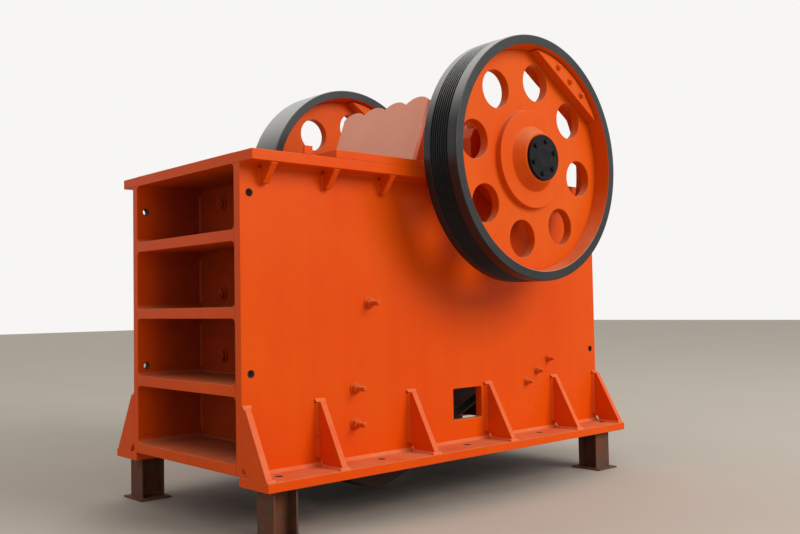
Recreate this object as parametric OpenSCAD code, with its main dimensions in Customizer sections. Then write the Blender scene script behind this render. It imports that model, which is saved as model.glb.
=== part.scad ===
// Single toggle jaw crusher: a welded plate frame on four short beam stands, with a fixed jaw,
// a swing jaw on an eccentric shaft, a grooved belt pulley and a plain flywheel.
// X runs from the fixed jaw end to the toggle end, Y across the machine and Z up.
// The origin is on the ground, under the middle of the frame.

/* [Frame] */
// Length of the side plates and foot plates
frame_len = 4040; // [3800:10:4400]
// Height of the frame, foot plates and top flange included
frame_h = 2300; // [2240:10:2380]
// Width over the outer faces of the side plates
frame_w = 1624; // [1560:2:1700]
// Thickness of the side plates
side_t = 75; // [50:1:90]
// Thickness of the top flange
flange_t = 75; // [50:1:90]
// How far the top flange stands out past the side plates
flange_out = 165; // [140:1:200]
// Thickness of the flange gussets
flange_gusset_t = 50; // [30:1:60]
// Height of the flange gussets
flange_gusset_h = 140; // [100:1:180]
// Distance of the first flange gusset from the front end
flange_gusset_first = 165; // [100:1:250]
// Spacing of the flange gussets
flange_gusset_pitch = 549; // [500:1:560]

/* [Feet] */
// Thickness of the foot plates
foot_t = 65; // [40:1:90]
// How far the foot plates stand out past the side plates
foot_out = 316; // [280:1:360]
// How far the foot plates reach in under the side plates
foot_in = 42; // [30:1:74]
// Radius of the foundation bolt holes
foot_hole_r = 27; // [18:1:35]
// Distance of the foundation bolt holes from the side plates
foot_hole_out = 130; // [100:1:200]
// Distance of the first foundation bolt hole from the front end
foot_hole_first = 208; // [150:1:260]
// Distance of the last foundation bolt hole from the rear end
foot_hole_last = 108; // [100:1:390]
// Thickness of the foot gussets
foot_gusset_t = 50; // [30:1:70]
// Height of the foot gussets
foot_gusset_h = 462; // [380:1:520]
// Width of a foot gusset at its top
foot_gusset_top = 45; // [30:1:80]
// Distance from an end gusset to the next one
foot_gusset_end = 638; // [560:1:700]

/* [Front end] */
// Depth of the front bays, from the front end to the front wall
bay_depth = 580; // [450:1:650]
// Thickness of the front wall
front_wall_t = 100; // [70:1:120]
// Thickness of the cross ribs
rib_t = 80; // [50:1:100]
// Radius of the corners where the ribs meet the side plates
rib_corner_r = 40; // [10:1:60]
// Radius of the lifting holes in the side plates
lift_hole_r = 25; // [18:1:30]
// Distance of the lifting holes from the ends of the side plates
lift_hole_in = 79; // [60:1:110]

/* [Crushing chamber] */
// Thickness of the fixed jaw plate, teeth included
fixed_jaw_t = 160; // [120:1:180]
// Thickness of the swing jaw plate, teeth included
swing_jaw_t = 130; // [100:1:150]
// Number of teeth across a jaw plate
teeth = 12; // [8:1:16]
// Depth of the teeth
tooth_depth = 38; // [20:1:50]
// Width of the swing jaw plate
swing_jaw_w = 1280; // [1200:2:1300]
// Gap between the jaws at the level of the frame's underside
discharge_gap = 210; // [180:1:260]
// Lean of the swing jaw plate from the vertical, in degrees
jaw_lean = 18; // [16.5:0.1:19]
// Thickness of the cheek plates on the side plates
cheek_t = 60; // [40:1:70]

/* [Swing jaw] */
// Throw of the eccentric shaft
throw = 20; // [10:1:25]
// Direction of the throw at rest, in degrees from +X towards +Z
throw_dir = 237.6; // [230:0.1:245]
// Width of the swing jaw's body
pitman_w = 1160; // [1100:2:1180]
// Outer radius of the swing jaw's bearing head
head_r = 470; // [440:1:490]
// Thickness of the swing jaw's upright webs
web_t = 70; // [50:1:90]
// Thickness of the guard plate above the swing jaw plate
guard_t = 40; // [20:1:50]
// Lean of the guard plate from the vertical, in degrees
guard_lean = 20.2; // [19.5:0.1:21]
// Length of the guard plate along its slope, up to the tops of its scallops
guard_len = 729; // [700:1:760]
// Number of scallops along the top of the guard plate
scallops = 4; // [3:1:5]
// Height of the scallops
scallop_h = 50; // [40:1:70]

/* [Shaft and wheels] */
// Distance of the shaft centre from the front end
shaft_x = 2535; // [2515:1:2555]
// Height of the shaft centre above the top flange
shaft_up = 116; // [100:1:130]
// Radius of the shaft in its bearings and wheels
journal_r = 150; // [130:1:160]
// Radius of the shaft's eccentric middle
eccentric_r = 185; // [180:1:200]
// Radius of the belt pulley and the flywheel
wheel_r = 1020; // [960:1:1060]
// Thickness of the wheel rims
rim_t = 80; // [60:1:110]
// Width of the belt pulley's rim
pulley_w = 360; // [330:1:380]
// Width of the flywheel's rim
flywheel_w = 390; // [340:1:395]
// Distance from the middle of the machine to the outer face of each rim
wheel_face = 1422; // [1410:1:1440]
// Thickness of the wheel discs
disc_t = 80; // [60:1:100]
// Number of round windows in a wheel disc
windows = 8; // [6:1:8]
// Radius of the round windows
window_r = 157; // [120:1:165]
// Radius of the circle that the windows lie on
window_circle_r = 674; // [650:1:690]
// Turn of the windows at rest, in degrees
window_turn = 36; // [30:1:40]
// Number of belt grooves
grooves = 8; // [6:1:9]
// Spacing of the belt grooves
groove_pitch = 24; // [20:1:26]
// Depth of the belt grooves
groove_depth = 18; // [10:1:22]
// Depth of the counterweight segments, from the rim inwards
weight_deep = 132; // [70:1:150]
// Radius of the cap on each end of the shaft
cap_r = 190; // [160:1:195]
// Thickness of the shaft caps
cap_t = 24; // [15:1:35]

/* [Bearings] */
// Outer radius of the bearing housings
housing_r = 345; // [300:1:360]
// Width of the bearing housings
housing_w = 330; // [250:1:335]
// Distance from the middle of the machine to the inner end of each housing
housing_in = 700; // [660:1:720]
// Thickness of the bearing rails on the top flange
rail_t = 62; // [40:1:80]
// Distance of the bearing rails' front ends from the front end
rail_first = 722; // [690:1:900]
// Length of the bearing rails
rail_len = 2680; // [2600:1:2800]

/* [Rear end and toggle] */
// Distance from the rear wall to the rear end
rear_depth = 440; // [400:1:500]
// Thickness of the rear wall
rear_wall_t = 80; // [60:1:100]
// Height of the rear wall above the frame's underside
rear_wall_h = 1765; // [1500:1:1900]
// Slope of the toggle plate, in degrees
toggle_slope = 24.5; // [23:0.1:26]
// Thickness of the toggle plate
toggle_t = 66; // [60:1:120]
// Width of the toggle plate
toggle_w = 1000; // [800:2:1100]
// Length from the swing jaw's toggle seat to the toggle block
toggle_len = 1275; // [1200:1:1300]
// Free gap at the swing jaw's end of the toggle plate
toggle_gap = 44; // [43:1:60]
// Radius of the tension rods
rod_r = 32; // [20:1:40]
// Length of the tension springs
spring_len = 250; // [180:1:260]

/* [Side window] */
// Length of the toggle window in each side plate
hatch_len = 345; // [250:1:400]
// Height of the toggle window
hatch_h = 262; // [200:1:300]
// Distance of the toggle window from the front end
hatch_first = 2053; // [1950:1:2150]
// Height of the toggle window's sill above the frame's underside
hatch_sill = 250; // [200:1:300]

/* [Stands] */
// Height of the stands
stand_h = 345; // [330:1:450]
// Depth of the stands' beam section, along the machine
beam_d = 200; // [150:1:250]
// Width of the stands' beam flanges
beam_w = 200; // [150:1:250]
// Thickness of the beam flanges
beam_flange_t = 16; // [8:1:20]
// Thickness of the beam web
beam_web_t = 11; // [6:1:16]
// Length of the stands' base plates
base_len = 275; // [260:1:320]
// Width of the stands' base plates
base_w = 315; // [260:1:320]
// Thickness of the stands' base plates
base_t = 14; // [8:1:25]
// Distance of the front stands from the front end
stand_front = 188; // [180:1:260]
// Distance of the rear stands from the rear end
stand_rear = 260; // [180:1:320]
// Distance of the stands from the middle of the machine
stand_out = 955; // [940:1:970]

/* [Hidden] */
$fn = 96;

paint = "#e0561a";
shade_paint = "#b44a26";
black = "#26282a";
bare_steel = "#6f7174";
rust = "#4a2c1c";
spring_colour = "#33383c";

// Running clearance of the shaft in the bearings and the swing jaw
journal_clear = 0.05;
// Clearance of a housing in its seat
seat_clear = 1;
// Clearance between a plate and a part that is slipped in beside it
slip_clear = 1;
// Clearance at each end of a tension spring
spring_clear = 0.5;

half_w = frame_w / 2;
inner_y = half_w - side_t;
flange_z = frame_h - flange_t;
shaft_z = frame_h + shaft_up;
flange_edge = half_w + flange_out;
foot_edge = half_w + foot_out;
wall_back = bay_depth + front_wall_t;
fixed_face = wall_back + fixed_jaw_t;
rear_wall_x = frame_len - rear_depth - rear_wall_t;
lip = 40;
bays = 4;
bay_pitch = (flange_z - foot_t) / bays;
foot_gussets = 6;
foot_holes = 5;
flange_gussets = 7;

// Places of the eccentric centre, the swing jaw's face and the toggle seats, as [x, z]
ecc = [shaft_x + throw * cos(throw_dir), shaft_z + throw * sin(throw_dir)];
jaw_foot_x = fixed_face + discharge_gap;
toggle_dir = [cos(toggle_slope), sin(toggle_slope)];
toggle_up = [-sin(toggle_slope), cos(toggle_slope)];
toggle_seat_back = 750;
toggle_seat_z = -11;
toggle_seat = [jaw_foot_x + toggle_seat_back, toggle_seat_z];
toggle_rear = toggle_seat + toggle_len * toggle_dir;
rod_drop = 245;
rod_start = toggle_seat - rod_drop * toggle_up;
rod_out = 95;

function jaw_face(z) = jaw_foot_x + z * tan(jaw_lean);
function jaw_back(z) = jaw_face(z) + swing_jaw_t / cos(jaw_lean);
function along_rod(s) = rod_start + s * toggle_dir;
function rib_z(i) = foot_t + i * bay_pitch;

// Puts a shape drawn from the front end and the frame's underside in its place on the ground
module on_stands() {
    translate([-frame_len / 2, 0, stand_h]) children();
}

// Draws its children, made on the flywheel side, on the side that s gives
module on_side(s) {
    on_stands() mirror([0, s > 0 ? 0 : 1, 0]) children();
}

// Extrudes an upright outline, drawn in X and Z, from y0 to y1
module across(y0, y1) {
    translate([0, y1, 0]) rotate([90, 0, 0]) linear_extrude(y1 - y0) children();
}

// A round bar along Y
module bar_y(at, r, y0, y1) {
    translate([at[0], y1, at[1]]) rotate([90, 0, 0]) cylinder(r = r, h = y1 - y0);
}

module rounded_rect(size, r) {
    translate([r, 0]) square([size[0] - 2 * r, size[1]]);
    translate([0, r]) square([size[0], size[1] - 2 * r]);
    for (x = [r, size[0] - r], y = [r, size[1] - r]) translate([x, y]) circle(r = r, $fn = 32);
}

// Frame plates

lift_hole_z = [762, flange_z - 207];
hatch_corner_r = 14;

module side_plate(s) {
    color(paint) on_side(s) across(inner_y, half_w) difference() {
        translate([0, foot_t]) square([frame_len, flange_z - foot_t]);
        translate([shaft_x, shaft_z]) circle(r = housing_r + seat_clear);
        translate([hatch_first, hatch_sill]) rounded_rect([hatch_len, hatch_h], hatch_corner_r);
        for (x = [lift_hole_in, frame_len - lift_hole_in], z = lift_hole_z)
            translate([x, z]) circle(r = lift_hole_r, $fn = 48);
    }
}

foot_hole_pitch = (frame_len - foot_hole_first - foot_hole_last) / (foot_holes - 1);

module foot(s) {
    color(paint) on_side(s) difference() {
        translate([0, half_w - foot_in, 0]) cube([frame_len, foot_in + foot_out, foot_t]);
        for (i = [0 : foot_holes - 1])
            translate([foot_hole_first + i * foot_hole_pitch, half_w + foot_hole_out, -1])
                cylinder(r = foot_hole_r, h = foot_t + 2, $fn = 48);
    }
}

foot_gusset_nose = 24;
foot_gusset_margin = 30;
scallop_r = 60;

function foot_gusset_x(i) = i == 0 ? 0
    : i == foot_gussets - 1 ? frame_len - foot_gusset_t
    : foot_gusset_end + (i - 1) * (frame_len - foot_gusset_t - 2 * foot_gusset_end) / (foot_gussets - 3);

module upright_plate(x, t) {
    translate([x, 0, 0]) rotate([90, 0, 90]) linear_extrude(t) children();
}

module foot_gusset_rows() {
    reach = foot_out - foot_gusset_margin;
    color(paint) for (s = [-1, 1]) on_side(s) for (i = [0 : foot_gussets - 1])
        upright_plate(foot_gusset_x(i), foot_gusset_t) difference() {
            translate([half_w, foot_t]) polygon([[0, 0], [reach, 0], [reach, foot_gusset_nose],
                [foot_gusset_top, foot_gusset_h], [0, foot_gusset_h]]);
            translate([half_w, foot_t]) circle(r = scallop_r, $fn = 32);
        }
}

module front_plate() {
    color(paint) on_stands() translate([0, -inner_y, flange_z])
        cube([wall_back, 2 * inner_y, flange_t]);
}

module flange(s) {
    color(paint) on_side(s) difference() {
        translate([0, inner_y, flange_z]) cube([frame_len, flange_edge - inner_y, flange_t]);
        bar_y([shaft_x, shaft_z], housing_r + seat_clear, inner_y - 1, flange_edge + 1);
    }
}

flange_gusset_bottom = 48;
flange_gusset_margin = 12;
flange_scallop_r = 28;

// The saddle block under the flange takes the place of any gusset in its way
saddle_half = 430;
saddle_out = 120;
function clear_of_saddle(x) = x + flange_gusset_t < shaft_x - saddle_half - lip
    || x > shaft_x + saddle_half + lip;

module flange_gusset_rows() {
    reach = flange_out - flange_gusset_margin;
    color(paint) for (s = [-1, 1]) on_side(s) for (i = [0 : flange_gussets - 1]) {
        x = flange_gusset_first + i * flange_gusset_pitch;
        if (clear_of_saddle(x)) upright_plate(x, flange_gusset_t) difference() {
            translate([half_w, flange_z]) polygon([[0, 0], [reach, 0], [reach, -flange_gusset_margin],
                [flange_gusset_bottom, -flange_gusset_h], [0, -flange_gusset_h]]);
            translate([half_w, flange_z]) circle(r = flange_scallop_r, $fn = 32);
        }
    }
}

// Small upright stops on top of the flanges, along their outer edges
edge_block = [73, 24, 64];
edge_block_x = 437;

module flange_blocks() {
    color(paint) for (s = [-1, 1]) on_side(s)
        translate([edge_block_x, flange_edge - edge_block[1], frame_h]) cube(edge_block);
}

// Front end

ledge_t = 85;

module front_wall() {
    color(shade_paint) on_stands() {
        translate([bay_depth, -inner_y, foot_t])
            cube([front_wall_t, 2 * inner_y, flange_z - foot_t]);
        translate([wall_back, -inner_y, foot_t])
            cube([fixed_jaw_t - tooth_depth, 2 * inner_y, ledge_t - slip_clear]);
    }
}

// A row of cross ribs with flared ends, seen from the front: the bays between them are cut out.
// The last bay ends at last_roof, where its corners are filled like the others.
module ribs_outline(z_list, top, last_roof) {
    difference() {
        translate([-inner_y, foot_t]) square([2 * inner_y, top - foot_t]);
        for (i = [0 : len(z_list) - 1]) {
            z = z_list[i] + rib_t;
            roof = i == len(z_list) - 1 ? last_roof : z_list[i + 1];
            translate([-inner_y, z]) rounded_rect([2 * inner_y, roof - z], rib_corner_r);
        }
    }
}

module front_ribs() {
    color(shade_paint) on_stands() upright_plate(0, bay_depth)
        ribs_outline([for (i = [0 : bays - 1]) rib_z(i)], flange_z, flange_z);
}

bolt_y = 364;
// Heights of the jaw bolts above the lowest rib, as a percentage of a bay's height
bolt_percent = [142, 236, 373];
bolt_head = 38;
bolt_head_r = 42;
bolt_washer_r = 56;
washer_t = 12;

module jaw_bolts() {
    color(shade_paint) on_stands() for (y = [-bolt_y, bolt_y], percent = bolt_percent)
        translate([bay_depth, y, rib_z(percent / 100)]) rotate([0, -90, 0]) {
            cylinder(r = bolt_washer_r, h = washer_t, $fn = 40);
            translate([0, 0, washer_t]) cylinder(r = bolt_head_r, h = bolt_head, $fn = 6);
        }
}

// Crushing chamber

// A jaw plate's section: a flat back at x = 0 and a row of upright teeth that peak at x = t
module toothed_section(w, t) {
    pitch = w / teeth;
    edge = [for (i = [0 : teeth - 1]) each [
        [t - tooth_depth, w / 2 - (i + 0.05) * pitch],
        [t, w / 2 - (i + 0.33) * pitch],
        [t, w / 2 - (i + 0.67) * pitch],
        [t - tooth_depth, w / 2 - (i + 0.95) * pitch]]];
    polygon(concat([[0, -w / 2], [0, w / 2], [t - tooth_depth, w / 2]], edge,
        [[t - tooth_depth, -w / 2]]));
}

fixed_jaw_w = 2 * (inner_y - cheek_t - slip_clear);

module fixed_jaw_plate() {
    color(bare_steel) on_stands() translate([wall_back, 0, foot_t + ledge_t])
        linear_extrude(flange_z - foot_t - ledge_t - slip_clear)
            toothed_section(fixed_jaw_w, fixed_jaw_t);
}

cheek_split = 1150;
cheek_gap = 6;
cheek_bottom = foot_t + ledge_t;
cheek_top = flange_z - slip_clear;

module cheek_outline(z0, z1) {
    polygon([[wall_back, z0], [jaw_face(z0) + swing_jaw_t, z0],
        [jaw_face(z1) + swing_jaw_t, z1], [wall_back, z1]]);
}

module cheek_plates(s) {
    color(bare_steel) on_side(s) across(inner_y - cheek_t, inner_y) {
        cheek_outline(cheek_bottom, cheek_split);
        cheek_outline(cheek_split + cheek_gap, cheek_top);
    }
}

stud_washer_r = 46;
stud_nut_r = 37;
stud_nut_t = 32;
stud_r = 20;
stud_end = 88;
block_stud_end = 59;
cheek_studs = [[1144, 1239], [997, 599], [992, 332]];
block_studs = [for (a = [40, 212, 402]) toggle_rear + a * [cos(31.8), sin(31.8)] - [0, 27]];
block_stud_size = 0.75;

module stud(size, end) {
    rotate([-90, 0, 0]) {
        cylinder(r = stud_washer_r * size, h = washer_t, $fn = 40);
        translate([0, 0, washer_t]) cylinder(r = stud_nut_r * size, h = stud_nut_t * size, $fn = 6);
        translate([0, 0, washer_t]) cylinder(r = stud_r * size, h = (stud_nut_t + end) * size, $fn = 24);
    }
}

module studs() {
    color(paint) for (s = [-1, 1]) on_side(s) {
        for (p = cheek_studs) translate([p[0], half_w, p[1]]) stud(1, stud_end);
        for (p = block_studs) translate([p[0], half_w, p[1]]) stud(block_stud_size, block_stud_end);
    }
}

// Bearings

rail_z = frame_h + rail_t;
saddle_deep = 265;
housing_foot_half = 520;
housing_foot_t = 60;
housing_end = housing_in + housing_w;
cover_r = 265;
cover_t = 15;
// The housing's cap is rounder than its foot and has an ear for the cap studs on each side
housing_cap_r = 400;
ear_side = [440, 180];
ear_top = [388, 267];

module housing_cap_outline() {
    low = rail_z + housing_foot_t - shaft_z - 1;
    translate([shaft_x, shaft_z]) {
        intersection() {
            circle(r = housing_cap_r);
            translate([-housing_cap_r, low]) square(2 * housing_cap_r);
        }
        polygon([[-ear_side[0], low], [ear_side[0], low], ear_side, ear_top,
            [-ear_top[0], ear_top[1]], [-ear_side[0], ear_side[1]]]);
    }
}

module bearing_seat(s) {
    color(paint) on_side(s) {
        difference() {
            translate([rail_first, inner_y, frame_h]) cube([rail_len, flange_edge - inner_y, rail_t]);
            bar_y([shaft_x, shaft_z], housing_r + seat_clear, inner_y - 1, flange_edge + 1);
        }
        difference() {
            translate([shaft_x - saddle_half, half_w, flange_z - saddle_deep])
                cube([2 * saddle_half, saddle_out, saddle_deep]);
            bar_y([shaft_x, shaft_z], housing_r + seat_clear, half_w - 1, half_w + saddle_out + 1);
        }
    }
}

module bearing(s) {
    color(paint) on_side(s) difference() {
        union() {
            bar_y([shaft_x, shaft_z], housing_r, housing_in, housing_end);
            across(housing_in, housing_end) housing_cap_outline();
            bar_y([shaft_x, shaft_z], cover_r, housing_in - cover_t, housing_end + cover_t);
            translate([shaft_x - housing_foot_half, inner_y, rail_z])
                cube([2 * housing_foot_half, flange_edge - inner_y, housing_foot_t]);
        }
        bar_y([shaft_x, shaft_z], journal_r + journal_clear, housing_in - cover_t - 1,
            housing_end + cover_t + 1);
    }
}

// Rear end and toggle

rod_hole_r = rod_r + 8;
spring_r = 76;
spring_hole_r = 46;
rod_ys = [-rod_out, rod_out];

// The round spring seats grow out of the rear wall, square to the rods
seat_r = 88;
seat_rise = 5;
function seat_at(x) = (x - rod_start[0] + seat_r * toggle_dir[1]) / toggle_dir[0];
seat_start = seat_at(rear_wall_x);
seat_end = seat_at(rear_wall_x + rear_wall_t) + seat_rise;

// The rods end behind the springs with a washer, a nut and a bare tip
rod_washer_t = 20;
nut_t = 50;
rod_tip = 35;
rod_end = seat_end + spring_len + rod_washer_t + nut_t + rod_tip;

// Places its children on the line of a tension rod, with Z along the rod
module on_rod(y, s) {
    translate([along_rod(s)[0], y, along_rod(s)[1]]) rotate([0, 90 - toggle_slope, 0]) children();
}

module rear_wall() {
    color(shade_paint) on_stands() difference() {
        union() {
            translate([rear_wall_x, -inner_y, foot_t])
                cube([rear_wall_t, 2 * inner_y, rear_wall_h - foot_t]);
            for (y = rod_ys) on_rod(y, seat_start) cylinder(r = seat_r, h = seat_end - seat_start);
        }
        for (y = rod_ys) on_rod(y, seat_start - 2 * rear_wall_t)
            cylinder(r = rod_hole_r, h = seat_end - seat_start + 4 * rear_wall_t);
    }
}

// The middle rear rib lies above the springs and rods
rear_rib_above_rods = 199;
rear_rib_z = [foot_t, along_rod(rod_end)[1] + rear_rib_above_rods, rear_wall_h - rib_t];

module rear_ribs() {
    color(shade_paint) on_stands()
        upright_plate(rear_wall_x + rear_wall_t, frame_len - rear_wall_x - rear_wall_t)
            ribs_outline(rear_rib_z, rear_wall_h, rear_wall_h + 3 * rib_corner_r);
}

block_t = 220;
block_half = 150;
beam_half = 190;
// Slope of the beam's upper face towards the rear wall, in degrees
beam_slope = 16;

module toggle_beam() {
    front = toggle_rear + (block_t + slip_clear) * toggle_dir;
    low = front - beam_half * toggle_up;
    high = front + beam_half * toggle_up;
    color(shade_paint) on_stands() across(-inner_y, inner_y)
        polygon([high, low, low + (rear_wall_x - low[0]) * [1, tan(toggle_slope)],
            high + (rear_wall_x - high[0]) * [1, tan(beam_slope)]]);
}

// Draws its children with X along the toggle line and Y square to it, starting at its rear end
module on_toggle_rear() {
    translate(toggle_rear) rotate(toggle_slope) children();
}

socket_deep = 26;
socket_clear = 1;

module toggle_block() {
    w = inner_y - slip_clear;
    color(paint) on_stands() across(-w, w) on_toggle_rear() difference() {
        translate([0, -block_half]) square([block_t, 2 * block_half]);
        circle(r = toggle_t / 2 + socket_clear);
    }
}

module toggle_plate() {
    r = toggle_t / 2;
    color(bare_steel) on_stands() across(-toggle_w / 2, toggle_w / 2) on_toggle_rear() {
        circle(r = r);
        translate([-toggle_len + toggle_gap + r, -r]) square([toggle_len - toggle_gap - r, toggle_t]);
        translate([-toggle_len + toggle_gap + r, 0]) circle(r = r);
    }
}

nut_r = 56;
eye_r = 50;
eye_half = 28;
pin_r = 20;
pin_half = 82;

module tension_rods() {
    color(bare_steel) on_stands() for (y = rod_ys) {
        on_rod(y, 0) cylinder(r = rod_r, h = rod_end, $fn = 40);
        bar_y(rod_start, eye_r, y - eye_half, y + eye_half);
        bar_y(rod_start, pin_r, y - pin_half, y + pin_half);
        on_rod(y, seat_end + spring_len) cylinder(r = spring_r + 6, h = rod_washer_t, $fn = 48);
        on_rod(y, seat_end + spring_len + rod_washer_t) cylinder(r = nut_r, h = nut_t, $fn = 6);
    }
}

module tension_springs() {
    length = spring_len - 2 * spring_clear;
    color(spring_colour) on_stands() for (y = rod_ys) on_rod(y, seat_end + spring_clear) difference() {
        cylinder(r = spring_r, h = length, $fn = 64);
        translate([0, 0, -1]) cylinder(r = spring_hole_r, h = length + 2, $fn = 64);
    }
}

// Stands

top_plate_t = 12;

// The rear stands' beams are turned a quarter turn from the front ones
module stand(x, s, turn) {
    color(rust) translate([x - frame_len / 2, s * stand_out, 0]) {
        translate([-base_len / 2, -base_w / 2, 0]) cube([base_len, base_w, base_t]);
        rotate([0, 0, turn]) {
            translate([-beam_d / 2, -beam_w / 2, stand_h - top_plate_t]) cube([beam_d, beam_w, top_plate_t]);
            translate([0, 0, base_t]) linear_extrude(stand_h - base_t - top_plate_t) {
                for (a = [-beam_d / 2, beam_d / 2 - beam_flange_t])
                    translate([a, -beam_w / 2]) square([beam_flange_t, beam_w]);
                translate([-beam_d / 2, -beam_web_t / 2]) square([beam_d, beam_web_t]);
            }
        }
    }
}

// Eccentric shaft and wheels

hub_end = wheel_face + 1;
hub_in = housing_end + cover_t + 11;
eccentric_half = housing_in - cover_t - 70;

module eccentric_shaft() {
    color(bare_steel) on_stands() {
        bar_y([shaft_x, shaft_z], journal_r, -hub_end, hub_end);
        bar_y(ecc, eccentric_r, -eccentric_half, eccentric_half);
    }
}

rim_taper = 14;
boss_r = 409;
boss_t = 50;
cone_r = 273;
hub_r = 205;
groove_land = 5;
groove_first = 78;
groove_floor = [0.22, 0.58];
rim_edge = 6;
hub_flare = 20;
boss_flare = 6;

disc_r = wheel_r - rim_t - rim_taper;
function disc_mid(w) = wheel_face - w / 2;

// Half section of a wheel's hub and disc: radius first, then the distance from the middle
module disc_section(w) {
    d0 = disc_mid(w) - disc_t / 2;
    d1 = disc_mid(w) + disc_t / 2;
    polygon([[journal_r, hub_in], [hub_r + hub_flare, hub_in], [cone_r, d0 - boss_t],
        [boss_r, d0 - boss_t], [boss_r + boss_flare, d0], [disc_r, d0], [disc_r, d1],
        [boss_r + boss_flare, d1], [boss_r, d1 + boss_t], [cone_r, d1 + boss_t], [hub_r, hub_end],
        [journal_r, hub_end]]);
}

// Half section of a rim: the radius grows thinner from the disc towards both edges
module rim_section(w, n_grooves) {
    y0 = wheel_face - w;
    d0 = disc_mid(w) - disc_t / 2;
    d1 = disc_mid(w) + disc_t / 2;
    difference() {
        polygon([[disc_r, d0], [wheel_r - rim_t, y0], [wheel_r - rim_edge, y0], [wheel_r, y0 + rim_edge],
            [wheel_r, wheel_face - rim_edge], [wheel_r - rim_edge, wheel_face],
            [wheel_r - rim_t, wheel_face], [disc_r, d1]]);
        if (n_grooves > 0) for (i = [0 : n_grooves - 1])
            translate([wheel_r, y0 + groove_first + i * groove_pitch])
                polygon([[1, 0], [1, groove_pitch - groove_land],
                    [-groove_depth, groove_pitch * groove_floor[1]],
                    [-groove_depth, groove_pitch * groove_floor[0]]]);
    }
}

module wheel_disc(w) {
    translate([shaft_x, 0, shaft_z]) difference() {
        rotate([-90, 0, 0]) rotate_extrude($fn = 180) disc_section(w);
        for (i = [0 : windows - 1]) rotate([0, -(window_turn + i * 360 / windows), 0])
            bar_y([window_circle_r, 0], window_r, wheel_face - w, wheel_face);
    }
}

module wheel_rim(w, n_grooves) {
    translate([shaft_x, 0, shaft_z]) rotate([-90, 0, 0]) rotate_extrude($fn = 180) rim_section(w, n_grooves);
}

weight_side_gap = 45;
weight_clear = 4;
weight_r = disc_r - weight_clear;

// Segments bolted to both faces of a wheel's disc, opposite the throw
module counterweights(w) {
    mid = disc_mid(w);
    faces = [[mid + disc_t / 2, wheel_face - weight_side_gap],
        [wheel_face - w + weight_side_gap, mid - disc_t / 2]];
    for (f = faces) translate([shaft_x, 0, shaft_z]) across(f[0], f[1])
        rotate(throw_dir - 180) intersection() {
            circle(r = weight_r, $fn = 180);
            translate([weight_r - weight_deep, -wheel_r]) square([wheel_r, 2 * wheel_r]);
        }
}

cap_bolts = 6;
cap_bolt_circle = 137;
cap_bolt_r = 19;
cap_bolt_t = 14;

module shaft_caps() {
    color(black) for (s = [-1, 1]) on_side(s) {
        bar_y([shaft_x, shaft_z], cap_r, hub_end, hub_end + cap_t);
        for (i = [0 : cap_bolts - 1]) translate([shaft_x, hub_end + cap_t, shaft_z])
            rotate([0, 20 + i * 360 / cap_bolts, 0]) translate([cap_bolt_circle, 0, 0])
                rotate([-90, 0, 0]) cylinder(r = cap_bolt_r, h = cap_bolt_t, $fn = 6);
    }
}

// Swing jaw

front_slab_t = 110;
jaw_top = frame_h + 30;
guard_foot_z = frame_h + 45;
guard_face_x = 1814;
web_ys = [-pitman_w / 2, -190 - web_t / 2, 190 - web_t / 2, pitman_w / 2 - web_t];
seat_half = 110;
seat_top = toggle_seat + seat_half * toggle_up;
seat_bottom = toggle_seat - seat_half * toggle_up;
jaw_bottom = -150;
sole = [[-470, -219], [-300, -219]];
pitman_foot = [[jaw_back(jaw_bottom), jaw_bottom], toggle_seat + sole[0], toggle_seat + sole[1],
    seat_bottom, seat_top];
foot_back = toggle_seat + [-240, 201];
// The webs' rear edge: just above the toggle seat, and just under the bearing head
web_low = toggle_seat + [-100, 341];
web_high_front = 195;
web_high_drop = 919;
web_high = ecc - [web_high_front, web_high_drop];
// The webs reach behind the guard plate up to this height and depth
web_peak_rise = 650;
web_peak_z = frame_h + web_peak_rise;
web_peak_w = 90;

function guard_back(z) = guard_face_x + (z - guard_foot_z) * tan(guard_lean) + guard_t / cos(guard_lean);

module web_outline() {
    polygon(concat(pitman_foot, [web_low, web_high, ecc + head_r * [0.55, -0.6],
        ecc, ecc + head_r * [-0.33, 0.85], [guard_back(web_peak_z) + web_peak_w, web_peak_z],
        [guard_back(web_peak_z), web_peak_z], [guard_back(guard_foot_z), guard_foot_z],
        [guard_back(guard_foot_z), jaw_top], [jaw_back(jaw_top), jaw_top]]));
}

module foot_outline() {
    z = foot_back[1];
    polygon(concat(pitman_foot, [foot_back, [jaw_back(z) + front_slab_t, z], [jaw_back(z), z]]));
}

module front_slab_outline() {
    polygon([[jaw_back(jaw_bottom), jaw_bottom], [jaw_back(jaw_bottom) + front_slab_t, jaw_bottom],
        [jaw_back(jaw_top) + front_slab_t, jaw_top], [jaw_back(jaw_top), jaw_top]]);
}

lug_t = 32;
lug_gap = 76;
lug_wall = 28;
// Corners of the lugs: two inside the foot, from the toggle seat, and one from the lug's hole
lug_root = [[-320, -189], [-300, -89], [56, 49]];
pin_clear = 6;
lug_hole_r = throw + pin_r + pin_clear;

// The lugs' holes are centred on the circle that the pins draw as the swing jaw goes round
lug_hole = rod_start - [shaft_x, shaft_z] + ecc;

module lug_outline() {
    difference() {
        union() {
            translate(lug_hole) circle(r = lug_hole_r + lug_wall);
            polygon([toggle_seat + lug_root[0], toggle_seat + lug_root[1], seat_bottom,
                lug_hole + lug_root[2], lug_hole - [0, lug_hole_r + lug_wall]]);
        }
        translate(lug_hole) circle(r = lug_hole_r);
    }
}

module swing_jaw_head() {
    half = pitman_w / 2;
    color(paint) on_stands() difference() {
        bar_y(ecc, head_r, -half, half);
        bar_y(ecc, eccentric_r + journal_clear, -half - 1, half + 1);
    }
}

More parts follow.
